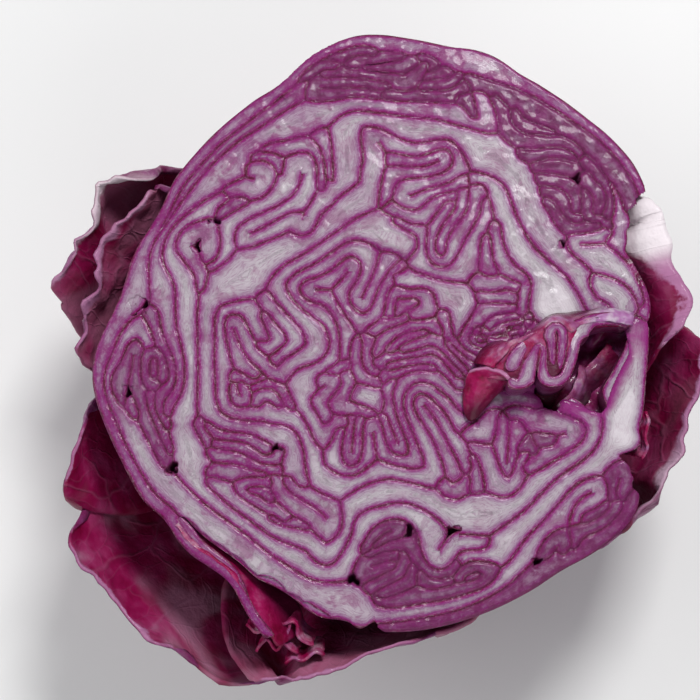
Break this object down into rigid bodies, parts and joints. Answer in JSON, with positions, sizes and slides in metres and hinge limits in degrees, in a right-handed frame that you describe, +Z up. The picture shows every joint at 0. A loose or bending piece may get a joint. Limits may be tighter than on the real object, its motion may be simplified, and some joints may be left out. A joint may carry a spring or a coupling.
{
  "type": "red cabbage",
  "caption": "Stalk half of a red cabbage, cut across with the cut face up: folded purple leaves, a torn leaf standing above the cut, loose outer leaves and a short trimmed stalk.",
  "frame": {"origin": "centre of the trimmed stalk's flat cut, on the surface that the head rests on", "axes": "+Z up along the head's axis to the cut face, +Y away from the viewer of the picture, +X to the right"},
  "size_m": [0.1596, 0.1581, 0.0815],
  "materials": {
    "leaf_flesh": "moist pale lilac cut flesh with thin magenta skins",
    "torn_leaf": "moist magenta leaf with a pale torn edge",
    "wrapper_skin": "smooth dark red purple leaf, satin",
    "stalk": "pale fibrous cut stem, matt"
  },
  "bodies": {
    "root": {"leaf_bottom_1": "leaf_flesh", "leaf_bottom_2": "leaf_flesh", "leaf_bottom_3": "leaf_flesh", "leaf_bottom_4": "leaf_flesh", "leaf_bottom_5": "leaf_flesh", "leaf_bottom_6": "leaf_flesh", "leaf_bottom_7": "leaf_flesh", "leaf_heart_1": "leaf_flesh", "leaf_heart_10": "leaf_flesh", "leaf_heart_11": "leaf_flesh", "leaf_heart_12": "leaf_flesh", "leaf_heart_2": "leaf_flesh", "leaf_heart_3": "leaf_flesh", "leaf_heart_4": "leaf_flesh", "leaf_heart_5": "leaf_flesh", "leaf_heart_6": "leaf_flesh", "leaf_heart_7": "leaf_flesh", "leaf_heart_8": "leaf_flesh", "leaf_heart_9": "leaf_flesh", "leaf_in_hollow": "torn_leaf", "leaf_left_1": "leaf_flesh", "leaf_left_2": "leaf_flesh", "leaf_left_3": "leaf_flesh", "leaf_right_1": "leaf_flesh", "leaf_right_2": "leaf_flesh", "leaf_right_3": "leaf_flesh", "leaf_rim_1": "leaf_flesh", "leaf_rim_2": "leaf_flesh", "leaf_rim_3": "leaf_flesh", "leaf_rim_4": "leaf_flesh", "leaf_rim_5": "leaf_flesh", "leaf_rim_6": "leaf_flesh", "leaf_ring_1": "leaf_flesh", "leaf_ring_2": "leaf_flesh", "leaf_ring_3": "leaf_flesh", "leaf_ring_4": "leaf_flesh", "leaf_ring_5": "leaf_flesh", "leaf_ring_6": "leaf_flesh", "leaf_ring_7": "leaf_flesh", "leaf_top_1": "leaf_flesh", "leaf_top_10": "leaf_flesh", "leaf_top_11": "leaf_flesh", "leaf_top_2": "leaf_flesh", "leaf_top_3": "leaf_flesh", "leaf_top_4": "leaf_flesh", "leaf_top_5": "leaf_flesh", "leaf_top_6": "leaf_flesh", "leaf_top_7": "leaf_flesh", "leaf_top_8": "leaf_flesh", "leaf_top_9": "leaf_flesh", "leaf_torn": "torn_leaf", "leaf_torn_fold": "torn_leaf", "stalk": "stalk", "wrapper_bottom": "wrapper_skin", "wrapper_cup": "wrapper_skin", "wrapper_left_inner": "wrapper_skin", "wrapper_left_low": "wrapper_skin", "wrapper_left_outer": "wrapper_skin", "wrapper_right_high": "wrapper_skin", "wrapper_right_low": "wrapper_skin"}
  },
  "joints": []
}
